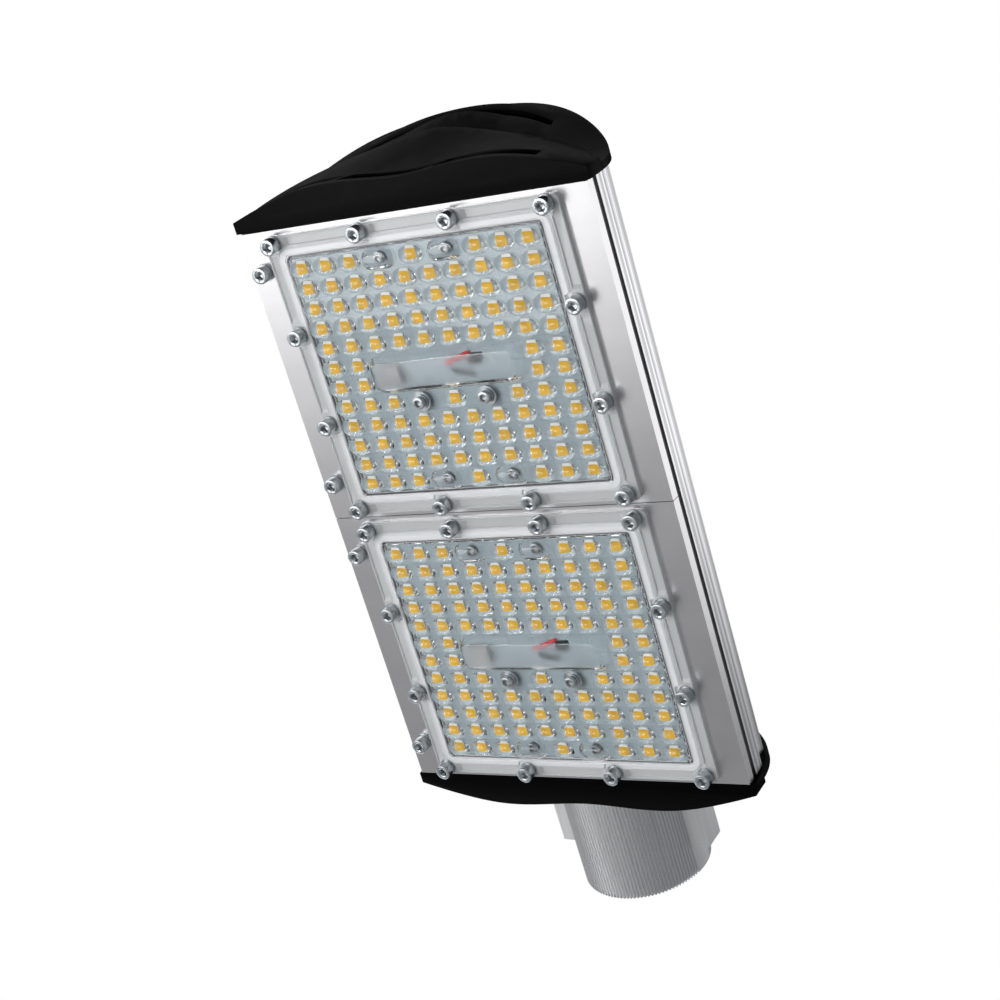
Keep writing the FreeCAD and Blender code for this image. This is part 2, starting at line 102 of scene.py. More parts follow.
def soft_light(name, direction, distance, width, height, power):
    """A rectangular lamp that stands in a direction from the object and faces it."""
    data = bpy.data.lights.new(name, "AREA")
    data.shape = "RECTANGLE"
    data.size, data.size_y = width, height
    data.energy = power
    light = linked(name, data)
    away = Vector(direction).normalized()
    light.location = OBJECT_MIDDLE + away * distance
    light.rotation_mode = "QUATERNION"
    light.rotation_quaternion = away.to_track_quat("Z", "Y")


def shader_parts(name):
    """A new material with its Principled shader and the lists to build on."""
    material = bpy.data.materials.new(name)
    material.use_nodes = True
    tree = material.node_tree
    return material, tree.nodes["Principled BSDF"], tree.nodes, tree.links


def maths(nodes, links, operation, *values):
    """The result of a Math node whose values are sockets or plain numbers."""
    node = nodes.new("ShaderNodeMath")
    node.operation = operation
    for entry, value in zip(node.inputs, values):
        if isinstance(value, bpy.types.NodeSocket):
            links.new(value, entry)
        else:
            entry.default_value = value
    return node.outputs[0]


def floor_paint():
    """Pale matt paint that looks a little brighter than the light on it."""
    paint, shader, nodes, links = shader_parts("floor_paint")
    shader.inputs["Base Color"].default_value = (*FLOOR_TONE, 1)
    shader.inputs["Roughness"].default_value = FLOOR_ROUGH
    shader.inputs["Emission Color"].default_value = (1, 1, 1, 1)
    path = nodes.new("ShaderNodeLightPath")
    glow = maths(nodes, links, "MULTIPLY", path.outputs["Is Camera Ray"], FLOOR_PALER)
    links.new(glow, shader.inputs["Emission Strength"])
    return paint


sky()
soft_light("key_light", (-0.57, -0.25, -0.80), distance=1.22, width=1.1, height=0.9, power=6.3)
soft_light("under_light", (-0.07, -0.31, -0.94), distance=1.0, width=0.35, height=0.35, power=1.6)
soft_light("strip_light", (-0.54, 0.77, -0.36), distance=1.2, width=1.3, height=0.14, power=1.6)
soft_light("side_light", (0.50, 0.16, 0.83), distance=1.3, width=0.8, height=0.8, power=2.6)
soft_light("glint_light", (-0.54, -0.34, -0.78), distance=1.2, width=0.4, height=0.06, power=0.9)
soft_light("top_light", (-0.5, -0.5, 0.7), distance=1.4, width=1.2, height=1.2, power=5)

floor_signs = ((-1, -1), (1, -1), (1, 1), (-1, 1))
floor_corners = [(x * FLOOR_HALF, y * FLOOR_HALF, FLOOR_HEIGHT) for x, y in floor_signs]
floor_mesh = bpy.data.meshes.new("floor")
floor_mesh.from_pydata(floor_corners, [], [(0, 1, 2, 3)])
floor = linked("floor", floor_mesh)
floor_mesh.materials.append(floor_paint())

# Heat sink: one extruded aluminium body with an arch, a channel for the driver and fins.
# Its surface is natural anodised metal with marked drawing lines along the extrusion.
GRAIN_DETAIL = 3.0
METAL_CLOUDS, METAL_SPECKS, METAL_RELIEF = 22.0, 1800.0, 0.00005


def grain_group():
    """Uneven tone of a metal or plastic skin: soft clouds, fine lines and small specks."""
    group = bpy.data.node_groups.new("surface_grain", "ShaderNodeTree")
    for name, kind in (("Line scale", "Vector"), ("Cloud scale", "Float"), ("Speck scale", "Float")):
        group.interface.new_socket(name, in_out="INPUT", socket_type="NodeSocket" + kind)
    for name in ("Lines", "Clouds", "Specks"):
        group.interface.new_socket(name, in_out="OUTPUT", socket_type="NodeSocketFloat")
    nodes, links = group.nodes, group.links
    entry, leave = nodes.new("NodeGroupInput"), nodes.new("NodeGroupOutput")
    place = nodes.new("ShaderNodeTexCoord")
    stretch = nodes.new("ShaderNodeVectorMath")
    stretch.operation = "MULTIPLY"
    links.new(place.outputs["Object"], stretch.inputs[0])
    links.new(entry.outputs["Line scale"], stretch.inputs[1])
    for output, source, scale in (("Lines", stretch.outputs[0], None),
                                  ("Clouds", place.outputs["Object"], "Cloud scale"),
                                  ("Specks", place.outputs["Object"], "Speck scale")):
        noise = nodes.new("ShaderNodeTexNoise")
        noise.inputs["Detail"].default_value = GRAIN_DETAIL
        noise.inputs["Scale"].default_value = 1.0
        links.new(source, noise.inputs["Vector"])
        if scale:
            links.new(entry.outputs[scale], noise.inputs["Scale"])
        links.new(noise.outputs[0], leave.inputs[output])
    return group


GRAIN = grain_group()


def mapped(nodes, links, value, low, high):
    """A value between 0 and 1, mapped to between low and high."""
    node = nodes.new("ShaderNodeMapRange")
    node.inputs["To Min"].default_value = low
    node.inputs["To Max"].default_value = high
    links.new(value, node.inputs["Value"])
    return node.outputs[0]


def grained(name, scales, tones, stops, tone_from, gloss_from, rough, bump, relief):
    """A finish whose tone and gloss follow two outputs of the grain, with specks as its relief."""
    material, shader, nodes, links = shader_parts(name)
    grain = nodes.new("ShaderNodeGroup")
    grain.node_tree = GRAIN
    for entry, scale in zip(("Line scale", "Cloud scale", "Speck scale"), scales):
        grain.inputs[entry].default_value = scale
    ramp = nodes.new("ShaderNodeValToRGB")
    for index, (stop, tone) in enumerate(zip(stops, tones)):
        ramp.color_ramp.elements[index].position = stop
        ramp.color_ramp.elements[index].color = (*tone, 1)
    specks = nodes.new("ShaderNodeBump")
    specks.inputs["Strength"].default_value = bump
    specks.inputs["Distance"].default_value = relief
    links.new(grain.outputs[tone_from], ramp.inputs[0])
    links.new(ramp.outputs[0], shader.inputs["Base Color"])
    links.new(mapped(nodes, links, grain.outputs[gloss_from], *rough), shader.inputs["Roughness"])
    links.new(grain.outputs["Specks"], specks.inputs["Height"])
    links.new(specks.outputs[0], shader.inputs["Normal"])
    return material, shader


def finish_metal(name, dark, light, rough, lines, bump=0.15, contrast=(0.3, 0.7)):
    """Bare or anodised metal whose tone follows its drawing lines and whose gloss is uneven."""
    scales = (lines, METAL_CLOUDS, METAL_SPECKS)
    material, shader = grained(name, scales, tones=(dark, light), stops=contrast, tone_from="Lines",
                               gloss_from="Clouds", rough=rough, bump=bump, relief=METAL_RELIEF)
    shader.inputs["Metallic"].default_value = 1.0
    return material


def coat(node, material):
    """Gives a piece of the solid model its finish."""
    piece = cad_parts[node]
    piece.data.materials.clear()
    piece.data.materials.append(material)


PROFILE_METAL = finish_metal("profile_metal", (0.38, 0.38, 0.39), (0.82, 0.82, 0.83), (0.28, 0.42),
                             lines=(620, 0.8, 620), contrast=(0.42, 0.56))
coat("heat_sink", PROFILE_METAL)

# Module plates: two flat aluminium plates, sawn to length and finely blasted, with a thin
# seam between them. Each carries a board and its lens plate and is screwed to the heat sink.
MODULES = {"front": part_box("module_plate_front"), "rear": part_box("module_plate_rear")}
PLATE_METAL = finish_metal("plate_metal", (0.64, 0.63, 0.64), (0.67, 0.66, 0.67), (0.27, 0.34),
                           lines=(40, 120, 40))
for side in MODULES:
    coat("module_plate_" + side, PLATE_METAL)

# Boards: white lacquered metal-core boards, one under each lens plate. The copper areas
# under the lacquer show as blocks, one about each diode, that differ a little in tone.
METRE = 1000.0
BOARD_WHITE, BOARD_SHADE = (0.37, 0.43, 0.46), (0.30, 0.36, 0.39)
BLOCK_FADING, BLOCK_GAP = (0.95, 0.96, 0.97), 0.25
LACQUER_ROUGH = 0.35
COLUMN_PITCH, ROW_PITCH = 12.0, 8.78


def finish_board():
    """White lacquer over copper areas, with thin darker gaps between them."""
    material, shader, nodes, links = shader_parts("board_lacquer")
    place = nodes.new("ShaderNodeTexCoord")
    blocks = nodes.new("ShaderNodeTexBrick")
    blocks.inputs["Color1"].default_value = (*BOARD_WHITE, 1)
    blocks.inputs["Color2"].default_value = (*(c * share for c, share in zip(BOARD_WHITE, BLOCK_FADING)), 1)
    blocks.inputs["Mortar"].default_value = (*BOARD_SHADE, 1)
    blocks.inputs["Scale"].default_value = METRE
    blocks.inputs["Brick Width"].default_value = COLUMN_PITCH
    blocks.inputs["Row Height"].default_value = ROW_PITCH
    blocks.inputs["Mortar Size"].default_value = BLOCK_GAP
    blocks.offset = 0.0
    links.new(place.outputs["Object"], blocks.inputs["Vector"])
    links.new(blocks.outputs["Color"], shader.inputs["Base Color"])
    shader.inputs["Roughness"].default_value = LACQUER_ROUGH
    return material


BOARD_LACQUER = finish_board()
for side in MODULES:
    coat("led_board_" + side, BOARD_LACQUER)

# Light emitting diodes: 99 on each board, a small white case with an amber phosphor pad and
# a white solder block on its front side, soldered to the board. Their tops reach a little
# into the clear moulding over them, so that the pads show sharp through it.
MM = 0.001
LIGHT_FACE = MODULES["front"][0].z
BOARD_THICK = 1.5
COLUMNS, ROWS = 10, 12
COVER_ROWS, COVER_ROW_COLUMNS = (6, 7), (0, 1, 8, 9)
SCREW_ROWS, SCREW_ROW_COLUMNS = (1, 8, 12), (0, 1, 2, 4.5, 7, 8, 9)
CASE_HALF_X, CASE_HALF_Y, CASE_HEIGHT = 1.95, 1.4, 1.4
PAD_HALF_X, PAD_HALF_Y, PAD_SUNK, PAD_PROUD = 1.88, 1.36, 0.1, 0.05
BLOCK_HALF_X, BLOCK_HALF_Y, BLOCK_AWAY = 1.8, 0.85, 2.2
DIODE_CORNER, DIODE_STEPS = 0.15, 1
PLASTIC_STOPS, PLASTIC_RELIEF, GLOSS_FINER = (0.3, 0.7), 0.00004, 4
SHARP_FROM = 35.0
WELD, CORNER_WELD = 2e-7, 1e-6
PLACING_SEED = 7


def module_middle(side):
    """Y of the middle of a module, in metres."""
    low, high = MODULES[side]
    return (low.y + high.y) / 2


def on_module(side, places, depth):
    """Places of a module's own frame in the lamp's frame, at a depth in front of the plates."""
    middle = module_middle(side) * METRE
    return [(x, middle + y, LIGHT_FACE * METRE - depth) for x, y in places]


def led_places():
    """Places of the diodes about the module's middle, in mm."""
    places = []
    for row in range(1, ROWS + 1):
        columns = range(COLUMNS)
        if row in COVER_ROWS:
            columns = COVER_ROW_COLUMNS
        elif row in SCREW_ROWS:
            columns = SCREW_ROW_COLUMNS
        y = (row - (ROWS + 1) / 2) * ROW_PITCH
        places += [((column - (COLUMNS - 1) / 2) * COLUMN_PITCH, y) for column in columns]
    return places


def held(value, limit):
    """A value kept between the limit and its negative."""
    return max(-limit, min(limit, value))


def round_rectangle(half_x, half_y, corner, steps, stations_x=(), stations_y=()):
    """Points of a rectangle with round corners, with more points where the sides need them."""
    straight_x, straight_y = half_x - corner, half_y - corner
    points = []
    sides = (
        ([(held(x, straight_x), -half_y) for x in sorted(stations_x)], (1, -1), -90),
        ([(half_x, held(y, straight_y)) for y in sorted(stations_y)], (1, 1), 0),
        ([(held(x, straight_x), half_y) for x in sorted(stations_x, reverse=True)], (-1, 1), 90),
        ([(-half_x, held(y, straight_y)) for y in sorted(stations_y, reverse=True)], (-1, -1), 180),
    )
    for straight, (sx, sy), start in sides:
        points += straight
        for step in range(steps + 1):
            angle = math.radians(start + 90 * step / steps)
            x = sx * straight_x + corner * math.cos(angle)
            y = sy * straight_y + corner * math.sin(angle)
            points.append((x, y))
    return points


def shifted(points, place):
    """An outline moved to a place."""
    return [(x + place[0], y + place[1]) for x, y in points]


def skin(loops, close_first=True, close_last=True):
    """Faces between loops of equal count. A loop is (points, depth) or (points, list of depths)."""
    vertices, faces = [], []
    count = len(loops[0][0])
    for points, depth in loops:
        depths = depth if isinstance(depth, list) else [depth] * count
        vertices += [(x, y, -d) for (x, y), d in zip(points, depths)]
    for level in range(len(loops) - 1):
        for i in range(count):
            j = (i + 1) % count
            a, b = level * count + i, level * count + j
            faces.append((a, b, b + count, a + count))
    if close_first:
        faces.append(tuple(range(count)))
    if close_last:
        faces.append(tuple(range((len(loops) - 1) * count, len(loops) * count)))
    return vertices, faces


def add_faces(form, vertices, faces):
    """Adds faces between vertices in mm to a mesh that is being built."""
    made = [form.verts.new(Vector(vertex) * MM) for vertex in vertices]
    for face in faces:
        form.faces.new([made[corner] for corner in face])


def smooth(mesh, sharp=SHARP_FROM):
    """Smooth shading that keeps the edges where faces turn by more than an angle."""
    mesh.shade_smooth()
    mesh.set_sharp_from_angle(angle=math.radians(sharp))


def solid(name, parts):
    """One mesh object from lists of vertices in mm and faces, welded, outward and smooth."""
    form = bmesh.new()
    for vertices, faces in parts:
        add_faces(form, vertices, faces)
    bmesh.ops.remove_doubles(form, verts=form.verts, dist=CORNER_WELD)
    bmesh.ops.recalc_face_normals(form, faces=form.faces)
    mesh = bpy.data.meshes.new(name)
    form.to_mesh(mesh)
    form.free()
    smooth(mesh)
    return linked(name, mesh)


def placing_tree():
    """A Geometry Nodes tree that sets one part at each point, each turned by its own angle."""
    tree = bpy.data.node_groups.new("parts_in_place", "GeometryNodeTree")
    inputs = (("Geometry", "Geometry"), ("Part", "Object"), ("Carrier", "Object"),
              ("Finish", "Material"), ("Largest turn", "Float"), ("Weld distance", "Float"))
    for name, kind in inputs:
        tree.interface.new_socket(name, in_out="INPUT", socket_type="NodeSocket" + kind)
    tree.interface.new_socket("Geometry", in_out="OUTPUT", socket_type="NodeSocketGeometry")
    nodes, links = tree.nodes, tree.links
    entry, leave = nodes.new("NodeGroupInput"), nodes.new("NodeGroupOutput")
    part, carrier = nodes.new("GeometryNodeObjectInfo"), nodes.new("GeometryNodeObjectInfo")
    turns = nodes.new("FunctionNodeRandomValue")
    turns.data_type = "FLOAT_VECTOR"
    turns.inputs["Min"].default_value = (0, 0, 0)
    turns.inputs["Seed"].default_value = PLACING_SEED
    upright = nodes.new("ShaderNodeCombineXYZ")
    places = nodes.new("GeometryNodeInstanceOnPoints")
    realize = nodes.new("GeometryNodeRealizeInstances")
    join = nodes.new("GeometryNodeJoinGeometry")
    weld = nodes.new("GeometryNodeMergeByDistance")
    paint = nodes.new("GeometryNodeSetMaterial")
    links.new(entry.outputs["Part"], part.inputs["Object"])
    links.new(entry.outputs["Carrier"], carrier.inputs["Object"])
    links.new(entry.outputs["Largest turn"], upright.inputs["Z"])
    links.new(upright.outputs[0], turns.inputs["Max"])
    links.new(entry.outputs["Geometry"], places.inputs["Points"])
    links.new(part.outputs["Geometry"], places.inputs["Instance"])
    links.new(turns.outputs[0], places.inputs["Rotation"])
    links.new(places.outputs["Instances"], join.inputs[0])
    links.new(carrier.outputs["Geometry"], join.inputs[0])
    links.new(join.outputs[0], realize.inputs[0])
    links.new(realize.outputs[0], weld.inputs["Geometry"])
    links.new(entry.outputs["Weld distance"], weld.inputs["Distance"])
    links.new(weld.outputs[0], paint.inputs["Geometry"])
    links.new(entry.outputs["Finish"], paint.inputs["Material"])
    links.new(paint.outputs[0], leave.inputs[0])
    return tree


PLACING = placing_tree()


def evaluated_mesh(source):
    """A plain mesh of an object as its modifiers or its curve settings make it."""
    bpy.context.view_layer.update()
    return bpy.data.meshes.new_from_object(source.evaluated_get(bpy.context.evaluated_depsgraph_get()))


def set_in_place(name, part, places, material, turn=0.0, carrier=None, sharp=SHARP_FROM, weld=WELD):
    """A plain mesh with one copy of a part at each place (mm, in the lamp's frame), and the carrier."""
    points = bpy.data.meshes.new(name)
    points.from_pydata([Vector(place) * MM for place in places], [], [])
    piece = linked(name, points)
    modifier = piece.modifiers.new("placing", "NODES")
    modifier.node_group = PLACING
    values = {"Part": part, "Carrier": carrier, "Finish": material,
              "Largest turn": turn, "Weld distance": weld}
    for socket in PLACING.interface.items_tree:
        if socket.in_out == "INPUT" and values.get(socket.name) is not None:
            modifier[socket.identifier] = values[socket.name]
    mesh = evaluated_mesh(piece)
    piece.modifiers.clear()
    piece.data = mesh
    mesh.name = name
    form = bmesh.new()
    form.from_mesh(mesh)
    bmesh.ops.recalc_face_normals(form, faces=form.faces)
    form.to_mesh(mesh)
    form.free()
    smooth(mesh, sharp)
    for helper in (part, carrier):
        if helper is not None:
            bpy.data.objects.remove(helper)
    return piece


def fit(piece, slot, *nodes):
    """The piece rides on the lamp's body and stands for its nodes. The slot is not used."""
    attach(piece, "root")
    if nodes:
        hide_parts(*nodes)


def finish_plastic(name, colour, rough, cloud=40.0, speck=2500.0, bump=0.2, spread=0.08):
    """Moulded plastic or lacquer: an even tone with faint clouds and a fine skin texture."""
    gloss_scale = cloud * GLOSS_FINER
    scales = ((gloss_scale, gloss_scale, gloss_scale), cloud, speck)
    tones = ([c * (1 - spread) for c in colour], [min(1.0, c * (1 + spread)) for c in colour])
    material, _ = grained(name, scales, tones=tones, stops=PLASTIC_STOPS, tone_from="Clouds",
                          gloss_from="Lines", rough=rough, bump=bump, relief=PLASTIC_RELIEF)
    return material


def diode_case():
    """The white case and the solder block beside it."""
    case = round_rectangle(CASE_HALF_X, CASE_HALF_Y, DIODE_CORNER, DIODE_STEPS)
    block = round_rectangle(BLOCK_HALF_X, BLOCK_HALF_Y, DIODE_CORNER, DIODE_STEPS)
    block = shifted(block, (0.0, -BLOCK_AWAY))
    return solid("case", [skin([(outline, 0.0), (outline, CASE_HEIGHT)]) for outline in (case, block)])


def diode_pad():
    """The phosphor pad, let into the top of the case."""
    pad = round_rectangle(PAD_HALF_X, PAD_HALF_Y, DIODE_CORNER, DIODE_STEPS)
    return solid("pad", [skin([(pad, CASE_HEIGHT - PAD_SUNK), (pad, CASE_HEIGHT + PAD_PROUD)])])


CASE_WHITE = finish_plastic("diode_case", (0.93, 0.92, 0.88), (0.35, 0.5))
PHOSPHOR = finish_plastic("diode_phosphor", (0.74, 0.42, 0.02), (0.3, 0.45), cloud=300.0, spread=0.15)
for side in MODULES:
    places = on_module(side, led_places(), BOARD_THICK)
    cases = set_in_place("diode_cases_" + side, diode_case(), places, CASE_WHITE)
    pads = set_in_place("diode_pads_" + side, diode_pad(), places, PHOSPHOR)
    fit(cases, "board_white", "led_packages_" + side)
    fit(pads, "led_amber", "led_packages_" + side)

# Lens plates: one clear moulding over each board. It has a dome over every diode, a long
# cover over the leads, four small covers over the board screws, a rim and a screwed flange.

# Levels of the moulding as depths in front of the metal plate, and half sizes of its outlines
FLANGE, RIM, CEILING, ROOF, COVER_TOP = 2.2, 3.3, 2.6, 4.3, 7.5
FLANGE_HALF, RIM_HALF = (70.3, 63.0), (65.2, 58.1)
ROOF_HALF, POCKET_HALF = (60.1, 53.3), (59.4, 52.9)
FLANGE_EDGE, RIM_FOOT, RIM_EDGE, RIM_BEVEL, ROOF_EDGE = 0.3, 0.4, 0.2, 1.0, 0.2
STRIP_DEPTH, STRIP_MARGIN, STRIP_WALL = 0.9, 0.8, 0.3
GUTTER_OUTER, GUTTER_INNER, GUTTER_DEPTH = 1.6, 0.5, 0.4
GROOVE_OUTER, GROOVE_INNER, GROOVE_DEPTH = 0.3, 2.9, 1.25
PLATE_STEPS = 6

# Screws round the edge, with the strips between them and the notches in the rim beside them
CORNER_SCREW_X, MIDDLE_SCREW_X, SIDE_SCREW_X = 65.0, 21.7, 66.75
END_SCREW_Y, SIDE_SCREW_Y = 59.9, 20.3
SCREWS_ACROSS = (-CORNER_SCREW_X, -MIDDLE_SCREW_X, MIDDLE_SCREW_X, CORNER_SCREW_X)
SCREWS_ALONG = (-END_SCREW_Y, -SIDE_SCREW_Y, SIDE_SCREW_Y, END_SCREW_Y)
LENS_SCREWS = [(x, y) for y in (-END_SCREW_Y, END_SCREW_Y) for x in SCREWS_ACROSS]
LENS_SCREWS += [(x, y) for x in (-SIDE_SCREW_X, SIDE_SCREW_X) for y in (-SIDE_SCREW_Y, SIDE_SCREW_Y)]
SCREW_CLEAR, STRIP_SLOPE, STRIP_FROM = 5.2, 1.5, 6.55
NOTCH_HALF, NOTCH_SLOPE, NOTCH_DEPTH = 4.4, 0.8, 2.0
STATIONS_REACH_X, STATIONS_REACH_Y = 59.9, 54.8

# Covers and domes. A step of a cover's upper edge is drawn in by a share of the slope and one
# of the edge, has a larger corner, and lies a share of the edge below the top.
LONG_COVER_HALF, LONG_HOLLOW_HALF = (36.0, 8.25), (35.4, 7.6)
SMALL_COVER_HALF, SMALL_HOLLOW_HALF = (7.2, 4.3), (6.6, 3.7)
SMALL_COVER_X, SMALL_COVER_Y = 15.8, 48.29
SMALL_COVERS = [(side_x * SMALL_COVER_X, side_y * SMALL_COVER_Y) for side_x in (-1, 1) for side_y in (-1, 1)]
COVER_STEPS = 5
COVER_EDGE_STEPS = ((0.85, 0.0, 0.4, 1.0), (0.95, 0.0, 0.2, 0.3), (1.0, 0.5, 0.0, 0.0))
DOME_HALF_X, DOME_HALF_Y, DOME_HEIGHT = 5.7, 3.95, 2.9
DOME_COUNT, DOME_RINGS, DOME_POWER = 20, 5, 2.2
DOME_CENTRE = 2.2
MOULDING_SHARP, MOULDING_WELD, CARRIER_WELD, FILL_NEAR = 28.0, 5e-6, 2e-6, 1e-5

# Its finish: where it is milky or frosted, in mm, and how strongly
MILKY_X, MILKY_Y, SMALL_COVERS_FROM = 61.0, 54.2, 40.0
FROST_FULL, FROST_NONE = 7.495, 7.47
LONG_COVER_FROST, SMALL_COVER_FROST, CLEAR_ROUGH = 0.5, 0.16, 0.02
CLEAR_TONE, CLEAR_INDEX, CLEAR_RIM = (0.97, 0.985, 0.99), 1.49, 0.45
SHADOW_TONE = (0.93, 0.95, 0.96)


def side_stations(screws):
    """Where a side of the lens plate changes: strip ends and notch corners by each screw."""
    changes = (SCREW_CLEAR, SCREW_CLEAR + STRIP_SLOPE, NOTCH_HALF, NOTCH_HALF - NOTCH_SLOPE)
    return [screw + sign * change for screw in screws for sign in (-1, 1) for change in changes]


STATIONS_X = [x for x in side_stations(SCREWS_ACROSS) if abs(x) < STATIONS_REACH_X]
STATIONS_Y = [y for y in side_stations(SCREWS_ALONG) if abs(y) < STATIONS_REACH_Y]


def plate_loop(half, corner, inset=0.0):
    """An outline of the plate, drawn in from half sizes by an inset, with a corner radius."""
    return round_rectangle(half[0] - inset, half[1] - inset, corner, PLATE_STEPS, STATIONS_X, STATIONS_Y)


def strip_loop(half, corner, inset):
    """A loop on the flange that lies lower in the strips between the screws."""
    points = plate_loop(half, corner, inset)
    depths = []
    for x, y in points:
        nearest = min(math.hypot(x - screw_x, y - screw_y) for screw_x, screw_y in LENS_SCREWS)
        depths.append(FLANGE - STRIP_DEPTH if nearest > STRIP_FROM else FLANGE)
    return points, depths


def notched_loop(corner, inset=0.0):
    """The rim's outline with room for the heads of the screws between its corners."""
    moved = []
    for x, y in plate_loop(RIM_HALF, corner, inset):
        if abs(abs(x) - MIDDLE_SCREW_X) < NOTCH_HALF - NOTCH_SLOPE / 2:
            y -= math.copysign(NOTCH_DEPTH, y)
        elif abs(abs(y) - SIDE_SCREW_Y) < NOTCH_HALF - NOTCH_SLOPE / 2:
            x -= math.copysign(NOTCH_DEPTH, x)
        moved.append((x, y))
    return moved


def outside_loops():
    """The moulding's outside, from the metal plate over flange, rim and gutter to the roof."""
    gutter = RIM - GUTTER_DEPTH
    return [
        (plate_loop(FLANGE_HALF, corner=2.5), 0.0),
        (plate_loop(FLANGE_HALF, corner=2.5), FLANGE - FLANGE_EDGE),
        (plate_loop(FLANGE_HALF, corner=2.3, inset=FLANGE_EDGE), FLANGE),
        (plate_loop(FLANGE_HALF, corner=2.0, inset=STRIP_MARGIN), FLANGE),
        strip_loop(FLANGE_HALF, corner=2.0, inset=STRIP_MARGIN + STRIP_WALL),
        strip_loop(RIM_HALF, corner=5.6, inset=-RIM_FOOT - STRIP_WALL),
        (plate_loop(RIM_HALF, corner=5.8, inset=-RIM_FOOT), FLANGE),
        (notched_loop(corner=6.0), FLANGE),
        (notched_loop(corner=6.0, inset=RIM_EDGE), FLANGE + FLANGE_EDGE),
        (notched_loop(corner=5.4, inset=RIM_BEVEL), RIM),
        (plate_loop(ROOF_HALF, corner=3.2, inset=-GUTTER_OUTER), RIM),
        (plate_loop(ROOF_HALF, corner=2.8, inset=GUTTER_DEPTH - GUTTER_OUTER), gutter),
        (plate_loop(ROOF_HALF, corner=2.2, inset=-GUTTER_INNER), gutter),
        (plate_loop(ROOF_HALF, corner=1.8, inset=-ROOF_EDGE), ROOF - ROOF_EDGE),
        (plate_loop(ROOF_HALF, corner=1.6), ROOF),
    ]


def inside_loops():
    """The moulding's underside: the foot, the groove for the gasket and the board's pocket."""
    return [
        (plate_loop(FLANGE_HALF, corner=2.5), 0.0),
        (plate_loop(RIM_HALF, corner=4.0, inset=GROOVE_OUTER), 0.0),
        (plate_loop(RIM_HALF, corner=4.0, inset=GROOVE_OUTER), GROOVE_DEPTH),
        (plate_loop(RIM_HALF, corner=3.0, inset=GROOVE_INNER), GROOVE_DEPTH),
        (plate_loop(RIM_HALF, corner=3.0, inset=GROOVE_INNER), 0.0),
        (plate_loop(POCKET_HALF, corner=1.5), 0.0),
        (plate_loop(POCKET_HALF, corner=1.5), CEILING),
    ]


def cover_loops(half, corner, slope, base, top, edge=0.45):
    """The skin of a cover or of its hollow: leaning walls, a rounded edge and a flat top."""
    loops = [(round_rectangle(*half, corner, COVER_STEPS), base)]
    for slope_share, edge_share, rounder, below in COVER_EDGE_STEPS:
        inset = slope * slope_share + edge * edge_share
        outline = round_rectangle(half[0] - inset, half[1] - inset, corner - slope + rounder, COVER_STEPS)
        loops.append((outline, top - edge * below))
    return loops


def flat_fill(form, outlines, depth):
    """A flat face of the moulding: the first outline bounds it and the others, all convex, stay open."""
    points, owners, edges = [], [], []
    for index, outline in enumerate(outlines):
        start, count = len(points), len(outline)
        points += [Vector(point) for point in outline]
        owners += [index] * count
        edges += [(start + i, start + (i + 1) % count) for i in range(count)]
    places, _, faces, sources, _, _ = delaunay_2d_cdt(points, edges, [], 0, FILL_NEAR)
    made = [form.verts.new((x * MM, y * MM, -depth * MM)) for x, y in places]
    for face in faces:
        shared = set.intersection(*({owners[source] for source in sources[corner]} for corner in face))
        if not shared or shared == {0}:
            form.faces.new([made[corner] for corner in face])


def superellipse(half_x, half_y):
    """A dome's outline, between an ellipse and a rectangle."""
    points = []
    for index in range(DOME_COUNT):
        angle = 2 * math.pi * (index + 0.5) / DOME_COUNT
        across, along = math.cos(angle), math.sin(angle)
        x = math.copysign(abs(across) ** (2 / DOME_POWER), across) * half_x
        y = math.copysign(abs(along) ** (2 / DOME_POWER), along) * half_y
        points.append((x, y))
    return points


def lens_carrier():
    """All of a lens plate but its domes, as one open mesh about the module's middle."""
    outside, inside = outside_loops(), inside_loops()
    long_cover = cover_loops(LONG_COVER_HALF, corner=5.0, slope=2.4, base=ROOF, top=COVER_TOP)
    long_hollow = cover_loops(LONG_HOLLOW_HALF, corner=4.4, slope=2.4, base=CEILING, top=6.3)
    small_cover = cover_loops(SMALL_COVER_HALF, corner=3.4, slope=1.6, base=ROOF, top=COVER_TOP, edge=0.4)
    small_hollow = cover_loops(SMALL_HOLLOW_HALF, corner=2.9, slope=1.7, base=CEILING, top=6.4, edge=0.3)
    covers = [long_cover, long_hollow]
    for place in SMALL_COVERS:
        for loops in (small_cover, small_hollow):
            covers.append([(shifted(points, place), depth) for points, depth in loops])
    form = bmesh.new()
    for loops in (outside, inside):
        add_faces(form, *skin(loops, close_first=False, close_last=False))
    for loops in covers:
        add_faces(form, *skin(loops, close_first=False))
    dome_edge = superellipse(DOME_HALF_X, DOME_HALF_Y)
    roof_holes = [shifted(dome_edge, place) for place in led_places()] + [long_cover[0][0]]
    roof_holes += [shifted(small_cover[0][0], place) for place in SMALL_COVERS]
    ceiling_holes = [long_hollow[0][0]] + [shifted(small_hollow[0][0], place) for place in SMALL_COVERS]
    flat_fill(form, [outside[-1][0]] + roof_holes, ROOF)
    flat_fill(form, [inside[-1][0]] + ceiling_holes, CEILING)
    bmesh.ops.remove_doubles(form, verts=form.verts, dist=CARRIER_WELD)
    mesh = bpy.data.meshes.new("lens_carrier")
    form.to_mesh(mesh)
    form.free()
    return linked("lens_carrier", mesh)


